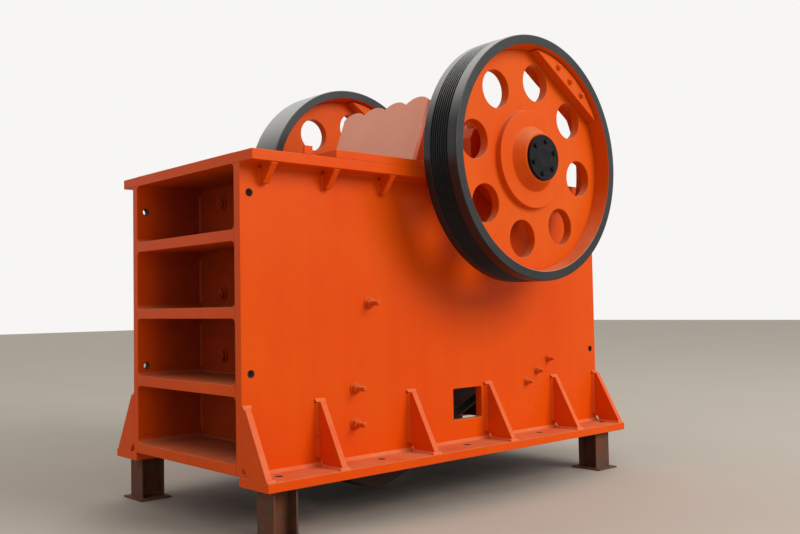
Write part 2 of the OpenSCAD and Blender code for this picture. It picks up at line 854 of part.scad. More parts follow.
module swing_jaw_front() {
    half = pitman_w / 2;
    color(paint) on_stands() {
        across(-half, half) foot_outline();
        across(-half, half) front_slab_outline();
        for (y = rod_ys, d = [-lug_gap / 2 - lug_t, lug_gap / 2])
            across(y + d, y + d + lug_t) lug_outline();
    }
}

module swing_jaw_webs() {
    color(paint) on_stands() for (y = web_ys) across(y, y + web_t) difference() {
        web_outline();
        translate(ecc) circle(r = head_r, $fn = 240);
        foot_outline();
        front_slab_outline();
    }
}

jaw_plate_bottom = -60;

module swing_jaw_plate() {
    length = (frame_h - jaw_plate_bottom) / cos(jaw_lean);
    color(bare_steel) on_stands() translate([jaw_back(jaw_plate_bottom), 0, jaw_plate_bottom])
        rotate([0, jaw_lean, 0]) translate([0, 0, -swing_jaw_t * tan(jaw_lean)])
            linear_extrude(length) mirror([1, 0]) toothed_section(swing_jaw_w, swing_jaw_t);
}

module guard_outline() {
    half = pitman_w / 2;
    pitch = pitman_w / scallops;
    r = (pitch * pitch / 4 + scallop_h * scallop_h) / (2 * scallop_h);
    translate([-half, 0]) square([pitman_w, guard_len - scallop_h]);
    intersection() {
        translate([-half, 0]) square([pitman_w, guard_len + 1]);
        for (i = [0 : scallops - 1]) translate([-half + (i + 0.5) * pitch, guard_len - r]) circle(r = r);
    }
}

module swing_jaw_guard() {
    color(paint) on_stands() translate([guard_back(guard_foot_z), 0, guard_foot_z])
        rotate([0, guard_lean, 0]) rotate([90, 0, -90]) linear_extrude(guard_t) guard_outline();
}

side_plate(-1);  // pulley_side_plate
side_plate(1);  // flywheel_side_plate
foot(-1);  // pulley_side_foot
foot(1);  // flywheel_side_foot
foot_gusset_rows();  // foot_gussets
front_plate();  // front_top_plate
flange(-1);  // pulley_side_flange
flange(1);  // flywheel_side_flange
flange_gusset_rows();  // flange_gussets
flange_blocks();
front_wall();
front_ribs();
fixed_jaw_plate();
cheek_plates(-1);  // pulley_side_cheek_plates
cheek_plates(1);  // flywheel_side_cheek_plates
jaw_bolts();
studs();  // side_studs
bearing_seat(-1);  // pulley_side_bearing_seat
bearing_seat(1);  // flywheel_side_bearing_seat
bearing(-1);  // pulley_side_bearing
bearing(1);  // flywheel_side_bearing
rear_wall();
rear_ribs();
toggle_beam();
toggle_block();
toggle_plate();
tension_rods();
tension_springs();
stand(stand_front, -1, 0);  // front_stand_pulley_side
stand(stand_front, 1, 0);  // front_stand_flywheel_side
stand(frame_len - stand_rear, -1, 90);  // rear_stand_pulley_side
stand(frame_len - stand_rear, 1, 90);  // rear_stand_flywheel_side
eccentric_shaft();
color(paint) on_side(-1) wheel_disc(pulley_w);  // belt_pulley
color(black) on_side(-1) wheel_rim(pulley_w, grooves);  // belt_pulley_rim
color(paint) on_side(1) wheel_disc(flywheel_w);  // flywheel
color(black) on_side(1) wheel_rim(flywheel_w, 0);  // flywheel_rim
color(paint) on_side(-1) counterweights(pulley_w);  // pulley_counterweights
color(paint) on_side(1) counterweights(flywheel_w);  // flywheel_counterweights
shaft_caps();
swing_jaw_head();
swing_jaw_front();
swing_jaw_webs();
swing_jaw_plate();
swing_jaw_guard();
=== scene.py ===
# %% [markdown]
# # A single toggle jaw crusher
#
# The machine is a box of thick welded plates. A fixed jaw stands at its front end, and a swing
# jaw hangs from an eccentric shaft that carries a grooved belt pulley on one side and a plain
# flywheel on the other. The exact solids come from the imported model, and this notebook gives
# them what a stranger would look for close up: rounded edges, weld beads, nuts and threads,
# springs with coils, enamel, dust, oil and rust.

# %% Load the exact model
import math

import bmesh
import bpy
from mathutils import Matrix, Vector, noise


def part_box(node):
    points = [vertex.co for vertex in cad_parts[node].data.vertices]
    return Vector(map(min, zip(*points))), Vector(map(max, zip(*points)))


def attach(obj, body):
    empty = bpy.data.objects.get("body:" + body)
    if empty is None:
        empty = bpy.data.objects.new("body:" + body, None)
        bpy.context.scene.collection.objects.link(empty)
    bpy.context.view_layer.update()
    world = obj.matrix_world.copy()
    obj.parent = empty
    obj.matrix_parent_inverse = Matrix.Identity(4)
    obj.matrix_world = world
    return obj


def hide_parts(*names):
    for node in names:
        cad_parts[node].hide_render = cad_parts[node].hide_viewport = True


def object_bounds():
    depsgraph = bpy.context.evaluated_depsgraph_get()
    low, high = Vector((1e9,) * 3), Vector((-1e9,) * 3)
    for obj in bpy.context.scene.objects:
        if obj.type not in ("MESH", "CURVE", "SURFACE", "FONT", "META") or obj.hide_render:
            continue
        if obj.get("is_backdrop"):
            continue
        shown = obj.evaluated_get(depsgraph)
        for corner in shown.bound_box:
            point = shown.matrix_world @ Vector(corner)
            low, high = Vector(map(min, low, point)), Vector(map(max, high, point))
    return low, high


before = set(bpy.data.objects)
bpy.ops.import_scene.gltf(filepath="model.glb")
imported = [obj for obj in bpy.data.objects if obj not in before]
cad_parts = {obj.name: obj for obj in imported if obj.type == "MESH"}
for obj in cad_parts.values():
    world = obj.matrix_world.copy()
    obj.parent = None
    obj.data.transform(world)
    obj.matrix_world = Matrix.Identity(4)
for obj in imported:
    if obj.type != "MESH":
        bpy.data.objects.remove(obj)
cad_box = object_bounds()
print("box from", [round(v, 3) for v in cad_box[0]], "to", [round(v, 3) for v in cad_box[1]])

# %% [markdown]
# Workshop drawings of such a machine give places from its front end and from the underside of
# its frame, in millimetres. One helper turns such a place into a point of the scene, which is in
# metres with its origin on the ground.

# %% Places on the machine
X, Y, Z = Vector((1, 0, 0)), Vector((0, 1, 0)), Vector((0, 0, 1))
LENGTH = 4040
SIDE_FACE, INNER_FACE = 812, 737  # the side plates, from the middle of the machine
FOOT_TOP, FLANGE_UNDER = 65, 2225
WALL_FRONT, WALL_REAR = 580, 3600
foot_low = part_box("pulley_side_foot")[0]
caps_low, caps_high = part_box("shaft_caps")
SHAFT = Vector(((caps_low.x + caps_high.x) / 2, 0, (caps_low.z + caps_high.z) / 2))


def at(x, y, z):
    """A point x behind the front end, y across and z above the frame's underside, in mm."""
    return Vector((foot_low.x + x / 1000, y / 1000, foot_low.z + z / 1000))


print("shaft centre", [round(v, 3) for v in SHAFT])

# %% [markdown]
# The camera stands at a walker's eye height, low enough to see the underside of the top flange
# and far enough round the corner to see both the open front end and the long side plate. Its
# three axes are built from yaw, pitch and roll, which is easier to reason about than Euler
# angles when the horizon tilts by a degree.

# %% Camera
YAW, PITCH, ROLL = (math.radians(a) for a in (47.86, 2.44, -1.02))
EYE_POINT = at(-3320.6, -6115.4, 1216.7)
FOCAL_PIXELS, PICTURE_PIXELS, SENSOR_MM = 900.13, 800, 36
forward = Vector((math.cos(YAW) * math.cos(PITCH), math.sin(YAW) * math.cos(PITCH),
                  math.sin(PITCH)))
level = Vector((math.sin(YAW), -math.cos(YAW), 0))
upward = level.cross(forward)
right = level * math.cos(ROLL) + upward * math.sin(ROLL)
top = upward * math.cos(ROLL) - level * math.sin(ROLL)
camera = bpy.data.objects.new("camera", bpy.data.cameras.new("camera"))
bpy.context.scene.collection.objects.link(camera)
turn = Matrix((right, top, -forward)).transposed().to_4x4()
camera.matrix_world = Matrix.Translation(EYE_POINT) @ turn
camera.data.lens = FOCAL_PIXELS / PICTURE_PIXELS * SENSOR_MM
camera.data.sensor_fit = "HORIZONTAL"
camera.data.clip_end = 200
bpy.context.scene.camera = camera
print("camera", [round(v, 2) for v in camera.location])

# %% [markdown]
# Shader maths reads best as plain expressions. A small class wraps a socket, so that
# `1 - mask * 0.5` adds the Math nodes by itself. A second class holds one finish: its shader,
# its output and one method that adds any other node from its type, settings and inputs.

# %% Shader expressions
class Value:
    """A number that changes over a surface."""

    def __init__(self, finish, socket):
        self.finish, self.socket = finish, socket

    def maths(self, operation, *values):
        settings = {"operation": operation}
        return self.finish.node("ShaderNodeMath", settings, dict(enumerate(values)))

    def __add__(self, other):
        return self.maths("ADD", self, other)

    def __sub__(self, other):
        return self.maths("SUBTRACT", self, other)

    def __rsub__(self, other):
        return self.maths("SUBTRACT", other, self)

    def __mul__(self, other):
        return self.maths("MULTIPLY", self, other)

    def __pow__(self, other):
        return self.maths("POWER", self, other)

    __radd__, __rmul__ = __add__, __mul__

    def band(self, low, high):
        """0 below low, 1 above high and a smooth ramp between."""
        settings = {"interpolation_type": "SMOOTHSTEP", "clamp": True}
        return self.finish.node("ShaderNodeMapRange", settings, {0: self, 1: low, 2: high})


def socket_name(key):
    """base_color is the shader's "Base Color" and specular_ior_level its "Specular IOR Level"."""
    return key.replace("_", " ").title().replace("Ior", "IOR")


class Finish:
    """One paint or metal, with the nodes that make it."""

    def __init__(self, name, **fixed):
        self.material = bpy.data.materials.new(name)
        self.material.use_nodes = True
        self.tree = self.material.node_tree
        self.tree.nodes.clear()
        self.shader = self.tree.nodes.new("ShaderNodeBsdfPrincipled")
        self.output = self.tree.nodes.new("ShaderNodeOutputMaterial")
        self.tree.links.new(self.shader.outputs[0], self.output.inputs[0])
        for key, value in fixed.items():
            self.shader.inputs[socket_name(key)].default_value = value
        self.place = self.tree.nodes.new("ShaderNodeTexCoord")
        self.points = self.place.outputs["Object"]

    def put(self, node, key, value):
        socket = node.inputs[key]
        value = getattr(value, "socket", value)
        if isinstance(value, bpy.types.NodeSocket):
            self.tree.links.new(value, socket)
        else:
            socket.default_value = value

    def node(self, kind, settings=(), sockets=(), out=0):
        made = self.tree.nodes.new(kind)
        for key, value in dict(settings).items():
            setattr(made, key, value)
        for key, value in dict(sockets).items():
            self.put(made, key, value)
        return Value(self, made.outputs[out])

    def set(self, **sockets):
        for key, value in sockets.items():
            self.put(self.shader, socket_name(key), value)

    def noise(self, scale, detail, roughness=0.55, stretch=None):
        points = self.points
        if stretch:
            points = self.node("ShaderNodeMapping", {}, {"Vector": points, "Scale": stretch})
        return self.node("ShaderNodeTexNoise", {}, {"Vector": points, "Scale": scale,
                                                    "Detail": detail, "Roughness": roughness})

    def mix(self, first, second, mask):
        """The first colour where the mask is 0, the second where it is 1."""
        return self.node("ShaderNodeMix", {"data_type": "RGBA"},
                         {0: mask, 6: first, 7: second}, out=2)

    def axis(self, letter, source=None):
        source = source or self.points
        return self.node("ShaderNodeSeparateXYZ", {}, {0: source}, out="XYZ".index(letter))

    def facing_up(self):
        return self.axis("Z", self.place.outputs["Normal"])

    def bump(self, height, distance):
        sockets = {"Height": height, "Distance": distance, "Strength": 1.0}
        return self.node("ShaderNodeBump", {}, sockets)


print("shader helpers ready")

# %% [markdown]
# The orange enamel was sprayed over plate straight from the rolling mill. It has a soft gloss
# with a fine orange peel, slow waves where the plate isn't flat, pale dust on whatever faces up,
# faint runs down the walls and a few small chips that show dark steel. Each of these is a noise
# at its own scale, and the dust looks at the surface's own normal. Three variants share it.
# Inside the open front bays the paint is darkened as painted shade, the more the deeper a point
# lies.
# The guard's paint carries a painted sheen: a pale colour mixed in for the sky's reflection, over a
# lighter orange that stands for light. What works inside the machine is darker up to a given
# height, partly grease and partly painted shade.

# %% Orange enamel
# SKY_SHEEN is the pale colour of the guard's painted sheen, a painted reflection of the sky.
BROWN, DUST, SKY_SHEEN = (0.11, 0.035, 0.02, 1), (0.70, 0.34, 0.17, 1), (0.98, 0.66, 0.50, 1)
# BAY_SHADE is the near black of the painted shade in the front bays.
BAY_SHADE, GREASE_AND_SHADE, BARE = (0.05, 0.016, 0.012, 1), (0.034, 0.030, 0.026, 1), (0.06, 0.035, 0.03, 1)
BAY_DEPTH = 0.35
INNER_SQUARED = (0.545, 0.56)  # a ramp just beyond the inner faces' distance, squared


def enamel(name, colour, deep, painted_sheen=0.0, bays=False, shade_and_grease_below=None, gloss=0.03):
    """The paint in a fresh and a deep tone; shade_and_grease_below is a height above the ground,
    under which the paint turns dark with grease and painted shade.
    """
    paint = Finish(name, coat_roughness=0.12, specular_ior_level=0.08)
    clouds = paint.noise(0.9, 3.0)
    runs = paint.noise(3.0, 5.0, stretch=(2.2, 2.2, 0.16))
    grime = paint.noise(5.5, 7.0, 0.66)
    speck = paint.noise(38.0, 3.0)
    chip = (paint.noise(7.0, 6.0, 0.75) * 0.75 + speck * 0.25).band(0.655, 0.675)
    up = paint.facing_up().band(0.1, 0.8)
    dust = up * (grime.band(0.25, 0.75) * 0.6 + 0.4) * 0.5
    tone = paint.mix(deep, colour, clouds.band(0.25, 0.75) * 0.7 + runs.band(0.3, 0.7) * 0.3)
    tone = paint.mix(tone, BROWN, grime.band(0.5, 0.9) * 0.12)
    tone = paint.mix(tone, DUST, dust)
    # A painted sheen: a pale colour mixed in as a painted reflection of the sky.
    if painted_sheen:
        tone = paint.mix(tone, SKY_SHEEN, painted_sheen * (clouds * 0.5 + 0.75))
    # Painted shade: in the front bays, between the side plates, the paint darkens towards near
    # black the deeper a point lies.
    if bays:
        painted_shade_depth = (paint.axis("X") - cad_box[0][0]).band(0.0, BAY_DEPTH)
        between = 1 - (paint.axis("Y") * paint.axis("Y")).band(*INNER_SQUARED)
        tone = paint.mix(tone, BAY_SHADE, painted_shade_depth * between * (grime * 0.3 + 0.36))
    # Below the given height the paint turns dark and neutral: grease on the working parts, and
    # painted shade where they lie inside and under the machine.
    if shade_and_grease_below is not None:
        below = 1 - paint.axis("Z").band(shade_and_grease_below - 0.35, shade_and_grease_below)
        tone = paint.mix(tone, GREASE_AND_SHADE, below * (grime * 0.08 + 0.92))
    tone = paint.mix(tone, BARE, chip * 0.8)
    paint.set(base_color=tone, roughness=0.34 + clouds * 0.06 + dust * 0.6 + chip * 0.3,
              coat_weight=gloss - dust * gloss * 2)
    peel = paint.noise(150.0, 2.0)
    waves = paint.noise(2.2, 2.0)
    paint.set(normal=paint.bump(waves + peel * 0.018 + chip * -0.03, 0.006))
    return paint


FRESH, SHADE = (0.72, 0.082, 0.0012, 1), (0.68, 0.058, 0.001, 1)
ORANGE = enamel("orange_enamel", (0.67, 0.095, 0.004, 1), (0.64, 0.070, 0.002, 1))
# The frame's enamel carries the painted shade of the front bays.
FRAME = enamel("frame_enamel", FRESH, SHADE, bays=True)
# The guard's enamel is a lighter orange with a painted sheen; both are painted light, not a paler
# paint.
SHEEN_ENAMEL = enamel("painted_sheen_enamel", (0.95, 0.12, 0.02, 1), (0.85, 0.09, 0.012, 1), painted_sheen=0.44,
                gloss=0.5)
# The working parts' enamel has a darker deep tone as painted shade inside the machine, and grease
# with painted shade below 1.9 metres.
SHADED_GREASY = enamel("shaded_greasy_enamel", FRESH, (0.55, 0.04, 0.012, 1), shade_and_grease_below=1.9)
print("orange enamel:", len(ORANGE.tree.nodes), "nodes")

# %% [markdown]
# The rims are painted black over turned iron. The lathe leaves fine rings round the shaft, so
# this paint measures each point's distance from the shaft centre and lets a noise change only
# with that distance and across the rim. What faces up on a rim is pale with dust.

# %% Black rim paint and black cap paint
PALE_DUST = (0.61, 0.61, 0.595, 1)


def black(name, tone, dusty, ringed):
    specular, coat = (0.3, 0.05) if ringed else (0.08, 0.02)
    paint = Finish(name, specular_ior_level=specular, coat_roughness=0.2, coat_weight=coat)
    grime = paint.noise(3.0, 6.0, 0.62)
    fine = paint.noise(26.0, 4.0, 0.6)
    worn = grime.band(0.4, 0.8) * 0.6 + fine.band(0.55, 0.8) * 0.4
    up = paint.facing_up()
    base = paint.mix(tone, dusty, worn * (up.band(0.1, 1.0) * 0.5 + 0.5))
    height = paint.noise(120.0, 2.0) * 0.05
    if ringed:
        base = paint.mix(base, PALE_DUST, up.band(0.15, 0.7) * (grime * 0.3 + 0.66))
        x = paint.axis("X") - SHAFT.x
        z = paint.axis("Z") - SHAFT.z
        radius = (x * x + z * z) ** 0.5
        at_radius = paint.node("ShaderNodeCombineXYZ", {}, {0: radius, 1: paint.axis("Y")})
        rings = paint.node("ShaderNodeTexNoise", {},
                           {"Vector": at_radius, "Scale": 320.0, "Detail": 2.0})
        height = height + rings * 0.12
    paint.set(base_color=base, roughness=0.34 + worn * 0.22, normal=paint.bump(height, 0.002))
    return paint


RIM = black("black_rim_paint", (0.010, 0.0108, 0.0118, 1), (0.04, 0.038, 0.036, 1), ringed=True)
CAP = black("black_cap_paint", (0.006, 0.006, 0.008, 1), (0.02, 0.02, 0.022, 1), ringed=False)
print("black paints ready")

# %% [markdown]
# Five bare metals are left: the cast manganese jaw plates with a skin of rust, the turned and
# oiled shaft, the rolled beam stubs that rusted in the yard, the dark springs, and the greased
# steel of the toggle plate and the rods. Rust lies over the metal in patches of one noise, and a
# finer noise mixes its two browns, so that it never repeats.

# %% Bare metals
def metal(name, light, dark, rust, rusty, polish, bumpy, shine):
    """A steel in two tones; rusty is the share under rust and polish the lowest roughness."""
    finish = Finish(name, specular_ior_level=0.5)
    clouds = finish.noise(4.0, 6.0, 0.6)
    grain = finish.noise(42.0, 6.0, 0.7)
    more = rusty * 0.3
    patches = (finish.noise(9.0, 8.0, 0.68) * 0.8 + grain * 0.2).band(0.62 - more, 0.78 - more)
    tone = finish.mix(dark, light, clouds.band(0.3, 0.7))
    browns = finish.mix(rust, [c * 0.45 for c in rust[:3]] + [1], grain)
    tone = finish.mix(tone, browns, patches * (0.35 + rusty * 0.6))
    finish.set(base_color=tone, metallic=shine * (1 - patches * 0.9),
               roughness=polish + grain * 0.2 + patches * 0.3)
    finish.set(normal=finish.bump(grain * 0.6 + clouds * 0.4 + patches * 0.3, bumpy))
    return finish


JAW = metal("cast_jaw_steel", (0.2, 0.19, 0.18, 1), (0.09, 0.085, 0.08, 1),
            (0.2, 0.07, 0.025, 1), rusty=0.35, polish=0.4, bumpy=0.0015, shine=0.75)
TURNED = metal("turned_steel", (0.5, 0.49, 0.47, 1), (0.34, 0.33, 0.32, 1),
               (0.16, 0.1, 0.06, 1), rusty=0.1, polish=0.2, bumpy=0.0003, shine=1.0)
RUSTY = metal("rusty_rolled_steel", (0.12, 0.055, 0.035, 1), (0.05, 0.027, 0.02, 1),
              (0.19, 0.055, 0.02, 1), rusty=0.8, polish=0.6, bumpy=0.002, shine=0.15)
SPRING = metal("black_spring_steel", (0.035, 0.036, 0.04, 1), (0.015, 0.015, 0.018, 1),
               (0.12, 0.05, 0.025, 1), rusty=0.15, polish=0.35, bumpy=0.0005, shine=0.3)
GREASED = metal("greased_steel", (0.10, 0.092, 0.08, 1), (0.04, 0.037, 0.033, 1),
                (0.07, 0.04, 0.022, 1), rusty=0.2, polish=0.35, bumpy=0.001, shine=0.3)
print("metals ready")

# %% [markdown]
# Every finished piece goes through one function. It gives the mesh its finishes, marks as sharp
# what is really an edge, weights the normals so that big plates stay flat beside their rounded
# edges, names the body that the piece moves with and hides the solids that it stands for.


def finished(name, bm, body, *finishes, replaces=(), sharp=40):
    """An object of the mesh; edges that turn by more than sharp degrees stay sharp."""
    mesh = bpy.data.meshes.new(name)
    for face in bm.faces:
        face.smooth = True
    bm.to_mesh(mesh)
    bm.free()
    for finish in finishes:
        mesh.materials.append(finish.material)
    mesh.set_sharp_from_angle(angle=math.radians(sharp))
    made = bpy.data.objects.new(name, mesh)
    bpy.context.scene.collection.objects.link(made)
    weighted = made.modifiers.new("flat faces stay flat", "WEIGHTED_NORMAL")
    weighted.keep_sharp = True
    weighted.weight = 60
    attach(made, body)
    if replaces:
        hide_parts(*replaces)
    return made


def sound(bm):
    """Merged doubles and faces that point outwards."""
    bmesh.ops.remove_doubles(bm, verts=bm.verts, dist=1e-6)
    bmesh.ops.recalc_face_normals(bm, faces=bm.faces)
    return bm


print("finishing helper ready")

# %% [markdown]
# Flame-cut and machined plate never has a knife edge. For each plate the exact mesh is copied,
# its loose triangles are merged, flat triangles are dissolved into whole faces, and every edge
# that turns by more than 30 degrees is bevelled. The feather edge where a rounded corner runs
# out isn't, with what meets it, and neither is the flush joint of the front plate with the two
# flanges, because it was ground over before painting. No corner may leave the box of the solid
# that the copy stands for.

# %% Plates with rounded edges
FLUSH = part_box("front_top_plate")[1][1]
SAME_POINT = 2e-5
FLAT, FEATHER = math.radians(0.6), math.radians(150)


def flush(edge, name):
    """Whether an edge lies in a ground joint between the front plate and a side flange."""
    in_flange = "flange" in name or "top_plate" in name
    return in_flange and all(abs(abs(v.co.y) - FLUSH) < 1e-4 for v in edge.verts)


def softened(name, width, *finishes, body="frame", pick=None, turn=30):
    """The solid with its edges bevelled by a width in mm; pick gives each face its finish."""
    bm = bmesh.new()
    bm.from_mesh(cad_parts[name].data)
    bmesh.ops.remove_doubles(bm, verts=bm.verts, dist=SAME_POINT)
    bmesh.ops.dissolve_degenerate(bm, edges=bm.edges, dist=SAME_POINT)
    bmesh.ops.dissolve_limit(bm, verts=bm.verts, edges=bm.edges, angle_limit=FLAT)
    feather = {v for e in bm.edges if e.calc_face_angle(0) > FEATHER for v in e.verts}
    edges = [e for e in bm.edges if e.calc_face_angle(0) > math.radians(turn)
             and not feather.intersection(e.verts) and not flush(e, name)]
    bmesh.ops.bevel(bm, geom=edges, offset=width / 1000, offset_type="OFFSET", affect="EDGES",
                    segments=2, profile=0.5, material=-1, clamp_overlap=False)
    low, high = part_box(name)
    for v in bm.verts:
        v.co = Vector([min(max(c, a), b) for c, a, b in zip(v.co, low, high)])
    if pick:
        for face in bm.faces:
            face.material_index = pick(face)
    return finished(name + "_dressed", bm, body, *finishes, replaces=[name])


PLATES = {
    "pulley_side_plate": 5, "flywheel_side_plate": 5, "pulley_side_foot": 4,
    "flywheel_side_foot": 4, "foot_gussets": 4, "front_top_plate": 4, "pulley_side_flange": 4,
    "flywheel_side_flange": 4, "flange_gussets": 3, "flange_blocks": 4, "front_wall": 4,
    "front_ribs": 4, "rear_ribs": 4, "toggle_beam": 6, "toggle_block": 4,
    "pulley_side_bearing_seat": 4, "flywheel_side_bearing_seat": 4,
    "pulley_side_bearing": 6, "flywheel_side_bearing": 6}
LIFTING_HOLES, ENDS, JUST_ABOVE_FEET = 1.5, 1.99, 0.42  # metres from the middle, or the ground
HOLE_FACET = 0.0005  # square metres: a face inside a hole is smaller than that
RIM_INSIDE = 0.95  # metres from the shaft: the grooves lie farther out


def hole_shade(face):
    """1, the dark rusty steel as painted shade inside the lifting and foundation holes, and 0, the
    paint, elsewhere.
    """
    middle = face.calc_center_median()
    away = abs(middle.x)
    bored = away < ENDS and (away > LIFTING_HOLES or middle.z < JUST_ABOVE_FEET)
    return 1 if bored and face.calc_area() < HOLE_FACET else 0


def outside_or_inside(face):
    """1, the orange enamel, where a rim faces the shaft and 0, the black paint, elsewhere."""
    middle = face.calc_center_median()
    inward = Vector((SHAFT.x - middle.x, 0, SHAFT.z - middle.z))
    inside = inward.length < RIM_INSIDE and face.normal.dot(inward.normalized()) > 0.7
    return 1 if inside else 0


for name, width in PLATES.items():
    if "side_plate" in name or "side_foot" in name:
        # Faces inside the holes get the dark rusty steel as painted shade.
        softened(name, width, FRAME, RUSTY, pick=hole_shade)
    else:
        softened(name, width, SHADED_GREASY if "toggle" in name else FRAME)
# The rear wall's faces that look forward, into the machine, get the darker enamel with painted
# shade.
softened("rear_wall", 4, FRAME, SHADED_GREASY, pick=lambda face: 1 if face.normal.x < -0.5 else 0)
for name in ("fixed_jaw_plate", "pulley_side_cheek_plates", "flywheel_side_cheek_plates"):
    softened(name, 5, JAW, turn=25)
softened("toggle_plate", 5, GREASED)
for name in ("front_stand_pulley_side", "front_stand_flywheel_side",
             "rear_stand_pulley_side", "rear_stand_flywheel_side"):
    softened(name, 2, RUSTY)
for name in ("swing_jaw_head", "swing_jaw_front", "swing_jaw_webs"):
    softened(name, 8, SHADED_GREASY, body="swing_jaw_body")
softened("swing_jaw_plate", 5, JAW, body="swing_jaw_body", turn=25)
softened("swing_jaw_guard", 4, SHEEN_ENAMEL, body="swing_jaw_body")
softened("eccentric_shaft", 3, TURNED, body="rotor")
for name in ("belt_pulley", "flywheel", "pulley_counterweights", "flywheel_counterweights"):
    softened(name, 5, ORANGE, body="rotor")
for name in ("belt_pulley_rim", "flywheel_rim"):
    softened(name, 4, RIM, ORANGE, body="rotor", pick=outside_or_inside)

# %% [markdown]
# Nuts, bolts, washers and threads are where a stranger's eye goes first. A nut is a six-sided
# disc that is drawn out, and whose outer face is inset and raised, which turns off its edge
# without cutting. A washer or a thread is spun from its profile, and the thread is a row of
# shallow rings, because at this size nobody can see that they aren't a helix.

# %% Fasteners
def pour(one, bm, centre=None, direction=None):
    """Adds a small mesh to the large one, turned from Z to a direction and moved to a centre."""
    if centre is not None:
        matrix = Matrix.Translation(centre) @ direction.to_track_quat("Z", "Y").to_matrix().to_4x4()
        bmesh.ops.transform(one, matrix=matrix, verts=one.verts)
    mesh = bpy.data.meshes.new("small")
    one.to_mesh(mesh)
    one.free()
    bm.from_mesh(mesh)
    bpy.data.meshes.remove(mesh)


def turned(bm, steps, sides, centre, direction):
    """A closed round solid from a list of (radius, height) steps, spun round the direction."""
    one = bmesh.new()
    chain = [one.verts.new((r, 0, h)) for r, h in steps]
    edges = [one.edges.new(pair) for pair in zip(chain, chain[1:])]
    bmesh.ops.spin(one, geom=chain + edges, cent=(0, 0, 0), axis=(0, 0, 1), angle=math.tau,
                   steps=sides, use_merge=True)
    bmesh.ops.remove_doubles(one, verts=one.verts, dist=1e-7)
    pour(one, bm, centre, direction)


def hex_solid(bm, centre, direction, across, height, spin):
    """A bolt head or nut with its edge turned off at the outer end."""
    one = bmesh.new()
    corner = across / 2 / math.cos(math.pi / 6)
    bmesh.ops.create_circle(one, segments=6, radius=corner, cap_ends=True,
                            matrix=Matrix.Rotation(spin, 4, "Z"))
    top = bmesh.ops.extrude_face_region(one, geom=one.faces[:])["geom"]
    raised = [v for v in top if isinstance(v, bmesh.types.BMVert)]
    bmesh.ops.translate(one, vec=(0, 0, height * 0.86), verts=raised)
    cap = [f for f in top if isinstance(f, bmesh.types.BMFace)]
    bmesh.ops.inset_region(one, faces=cap, thickness=across * 0.07, depth=height * 0.14)
    pour(one, bm, centre, direction)


def washer(bm, centre, direction, radius, thick):
    edge = thick * 0.2
    steps = [(0, 0), (radius, 0), (radius, thick - edge), (radius - edge, thick), (0, thick)]
    turned(bm, steps, 32, centre, direction)


def threaded_end(bm, centre, direction, radius, length, pitch):
    """A stud's end: rings one pitch apart and a chamfered tip."""
    rings = max(2, int(length / pitch))
    steps = [(0, 0)]
    for i in range(rings):
        h = length * i / rings
        steps += [(radius * 0.93, h), (radius, h + length * 0.5 / rings)]
    steps += [(radius * 0.93, length * 0.99), (radius * 0.8, length), (0, length)]
    turned(bm, steps, 20, centre, direction)


def nut_and_washer(bm, centre, direction, sizes, spin):
    """Sizes: washer radius and thickness, nut width and height, stud radius and free end."""
    washer_r, washer_t, across, nut_t, stud_r, stud_len = sizes
    direction = direction.normalized()
    washer(bm, centre, direction, washer_r, washer_t)
    hex_solid(bm, centre + direction * washer_t, direction, across, nut_t, spin)
    threaded_end(bm, centre + direction * (washer_t + nut_t), direction, stud_r, stud_len,
                 stud_r * 0.28)


print("fastener helpers ready")

# %% [markdown]
# The studs on the side plates hold the cheek plates and the guides of the toggle block. They
# were painted over with the frame, so they are orange, and every nut stopped at its own angle.

# %% Studs on the side plates
CHEEK_STUDS = [(1144, 1239), (997, 599), (992, 332)]
CHEEK_SIZES = (0.046, 0.012, 0.064, 0.032, 0.020, 0.0878)
BLOCK_STUDS = [(2994, 512), (3140, 603), (3302, 703)]
BLOCK_SIZES = (0.0345, 0.012, 0.048, 0.024, 0.015, 0.0440)
studs = bmesh.new()
for side in (-1, 1):
    out = Vector((0, side, 0))
    for i, (x, z) in enumerate(CHEEK_STUDS):
        nut_and_washer(studs, at(x, side * SIDE_FACE, z), out, CHEEK_SIZES, 0.3 + i * 0.8)
    for i, (x, z) in enumerate(BLOCK_STUDS):
        nut_and_washer(studs, at(x, side * SIDE_FACE, z), out, BLOCK_SIZES, 0.1 + i * 0.5)
print(2 * len(CHEEK_STUDS + BLOCK_STUDS), "studs,", len(studs.faces), "faces")
finished("side_studs_dressed", sound(studs), "frame", ORANGE, replaces=["side_studs"])

# %% [markdown]
# In three of the front bays two bolts come through the wall and pull the fixed jaw plate tight.
# Each gets a wide washer under its nut, as such bolts have on real machines.

# %% Bolts of the fixed jaw plate
JAW_BOLT_SIZES = (0.056, 0.012, 0.073, 0.030, 0.018, 0.0078)
jaw_bolts = bmesh.new()
for i, y in enumerate((-364, 364)):
    for j, z in enumerate((831.8, 1339.4, 2079.2)):
        spin = 0.2 + i + 0.6 * j
        nut_and_washer(jaw_bolts, at(WALL_FRONT, y, z), Vector((-1, 0, 0)), JAW_BOLT_SIZES, spin)
print("jaw bolts,", len(jaw_bolts.faces), "faces")
finished("jaw_bolts_dressed", sound(jaw_bolts), "frame", FRAME, replaces=["jaw_bolts"])

# %% [markdown]
# Each end of the shaft has a black cap with six bolts. The cap is spun from its profile, with a
# chamfered rim and a shallow recess for the bolt heads, and the heads sit on thin washers.

# %% Shaft caps
CAP_BACK, CAP_BOLTS, CAP_RECESS = 1.423, 0.137, 0.0205
CAP_PROFILE = [(0, 0), (0.190, 0), (0.190, 0.018), (0.184, 0.024), (0.172, 0.024),
               (0.168, 0.021), (0.102, 0.021), (0.098, 0.024), (0.06, 0.024), (0.056, 0.021),
               (0, 0.021)]


